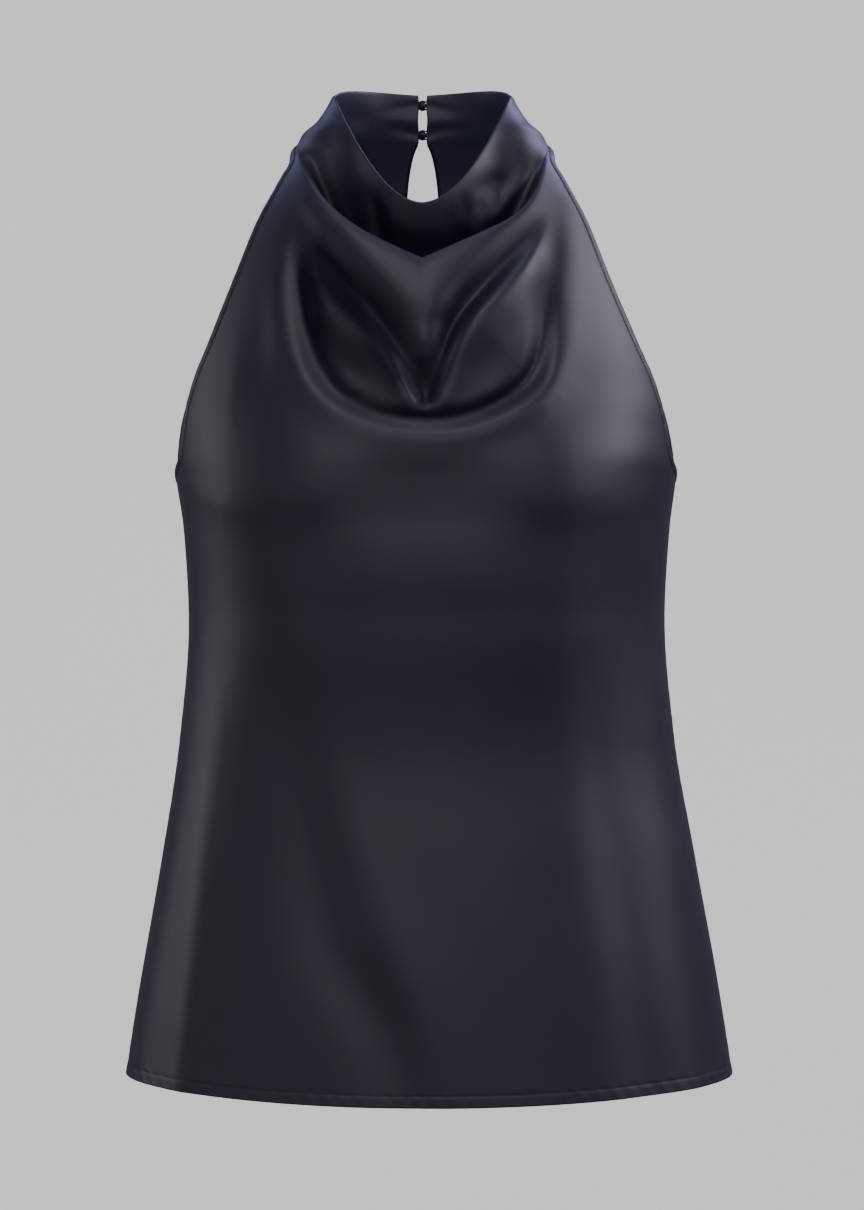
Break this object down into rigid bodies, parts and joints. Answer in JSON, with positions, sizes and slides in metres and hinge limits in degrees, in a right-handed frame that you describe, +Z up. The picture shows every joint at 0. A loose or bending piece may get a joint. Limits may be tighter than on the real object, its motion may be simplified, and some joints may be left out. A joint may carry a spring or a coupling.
{
  "type": "high neck top",
  "caption": "Sleeveless satin top with a high folded cowl neck, a buttoned neck band and keyhole at the back, bound armholes and a straight hem.",
  "frame": {"origin": "middle of the neck, level with the outer ends of the shoulder seams", "axes": "+Z up towards the neck opening, the front faces -Y, +X to the right of someone who looks at the front"},
  "size_m": [0.413, 0.242, 0.6818],
  "materials": {
    "satin": "soft sheen satin, very dark navy",
    "satin_binding": "soft sheen satin, bias cut and edge stitched",
    "satin_covered_button": "satin pulled tight over a small ball",
    "satin_cord": "narrow satin tube cord"
  },
  "bodies": {
    "root": {"front_panel": "satin", "back_panel": "satin", "back_collar_left": "satin", "back_collar_right": "satin", "armhole_binding_left": "satin_binding", "armhole_binding_right": "satin_binding", "button_top": "satin_covered_button", "button_lower": "satin_covered_button", "loop_top": "satin_cord", "loop_lower": "satin_cord"}
  },
  "joints": []
}
